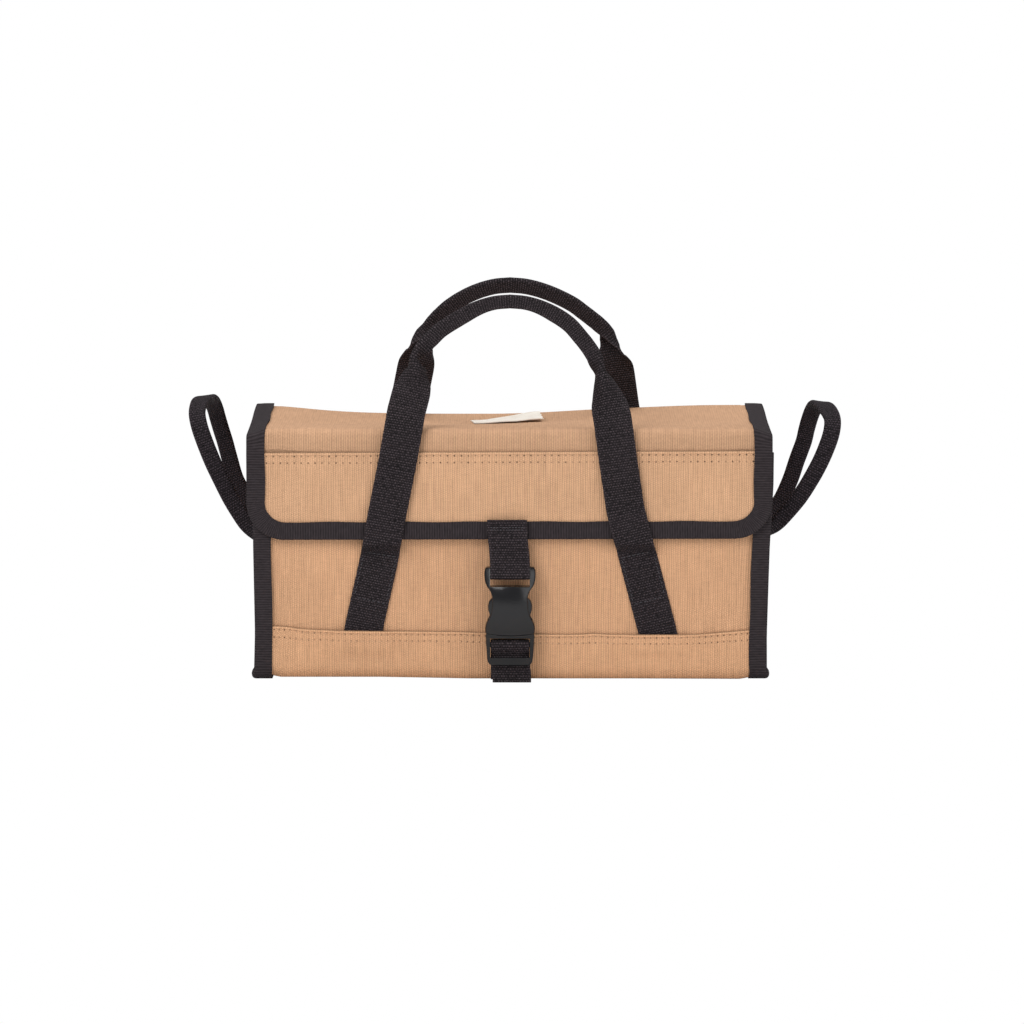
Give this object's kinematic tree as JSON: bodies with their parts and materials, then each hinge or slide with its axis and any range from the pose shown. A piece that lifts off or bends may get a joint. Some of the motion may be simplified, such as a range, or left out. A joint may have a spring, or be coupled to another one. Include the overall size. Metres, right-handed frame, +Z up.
{
  "type": "storage bag",
  "caption": "Boxy canvas bag with a lidded flap, side-release buckle, folded webbing carrying handles and webbing loops at its ends.",
  "frame": {"origin": "centre of the bounding box on the floor plane, under the bag", "axes": "+Z up, -Y to the front with the flap and buckle, +X to the right seen from the front, metres"},
  "size_m": [0.4228, 0.1694, 0.2525],
  "materials": {
    "canvas": "tan ribbed cotton canvas, matt",
    "webbing": "near-black woven webbing, matt",
    "binding": "charcoal ribbed binding tape, matt",
    "plastic": "near-black moulded plastic, satin",
    "label": "bare cream woven label"
  },
  "bodies": {
    "bag": {"front_panel": "canvas", "back_panel": "canvas", "base_panel": "canvas", "end_panel_left": "canvas", "end_panel_right": "canvas", "end_binding_left": "binding", "end_binding_right": "binding", "lid_top_rear_turn": "canvas", "front_handle_tab_left": "webbing", "front_handle_tab_right": "webbing", "back_handle_tab_left": "webbing", "back_handle_tab_right": "webbing", "end_loop_tab_front_left": "webbing", "end_loop_tab_back_left": "webbing", "end_loop_tab_front_right": "webbing", "end_loop_tab_back_right": "webbing"},
    "lid": {"lid_top": "canvas", "lid_side_binding_left": "binding", "lid_side_binding_right": "binding", "label": "label"},
    "flap": {"lid_front": "canvas", "flap_binding": "binding", "lid_top_front_turn": "canvas", "upper_strap": "webbing", "buckle_socket": "plastic"},
    "front_grip": {"front_handle": "webbing"},
    "back_grip": {"back_handle": "webbing"},
    "plug": {"buckle_plug": "plastic", "lower_strap": "webbing"},
    "prong_left": {"buckle_prong_left": "plastic"},
    "prong_right": {"buckle_prong_right": "plastic"},
    "loop_left": {"end_loop_left": "webbing"},
    "loop_right": {"end_loop_right": "webbing"}
  },
  "joints": [
    {"name": "lid_hinge", "type": "hinge", "parent": "bag", "child": "lid", "pos_m": [0, 0.08035, 0.161], "axis": [-1, 0, 0], "range_deg": [0, 100]},
    {"name": "flap_fold", "type": "hinge", "parent": "lid", "child": "flap", "pos_m": [0, -0.07465, 0.15], "axis": [1, 0, 0], "range_deg": [0, 70]},
    {"name": "front_handle_swing", "type": "hinge", "parent": "bag", "child": "front_grip", "pos_m": [0, -0.07255, 0.0824], "axis": [1, 0, 0], "range_deg": [0, 120]},
    {"name": "back_handle_swing", "type": "hinge", "parent": "bag", "child": "back_grip", "pos_m": [0, 0.08125, 0.0824], "axis": [-1, 0, 0], "range_deg": [0, 120]},
    {"name": "plug_swing", "type": "hinge", "parent": "bag", "child": "plug", "pos_m": [0, -0.07405, 0.009], "axis": [1, 0, 0], "range_deg": [0, 86], "deforming": ["lower_strap"]},
    {"name": "prong_left_press", "type": "hinge", "parent": "plug", "child": "prong_left", "pos_m": [-0.01123, -0.08015, 0.0333], "axis": [0, 1, 0], "range_deg": [0, 6], "stiffness_Nm_per_rad": 1},
    {"name": "prong_right_press", "type": "hinge", "parent": "plug", "child": "prong_right", "pos_m": [0.01123, -0.08015, 0.0333], "axis": [0, -1, 0], "range_deg": [0, 6], "stiffness_Nm_per_rad": 1},
    {"name": "end_loop_left_swing", "type": "hinge", "parent": "bag", "child": "loop_left", "pos_m": [-0.1613, 0, 0.08], "axis": [0, -1, 0], "range_deg": [-15, 105], "stiffness_Nm_per_rad": 0.06},
    {"name": "end_loop_right_swing", "type": "hinge", "parent": "bag", "child": "loop_right", "pos_m": [0.1613, 0, 0.08], "axis": [0, 1, 0], "range_deg": [-15, 105], "stiffness_Nm_per_rad": 0.06}
  ],
  "couplings": [
    {"joint": "flap_fold", "follows": "lid_hinge", "ratio": 0.69},
    {"joint": "front_handle_swing", "follows": "lid_hinge", "ratio": 1.2},
    {"joint": "back_handle_swing", "follows": "lid_hinge", "ratio": 1.2},
    {"joint": "plug_swing", "follows": "lid_hinge", "ratio": 0.85}
  ]
}
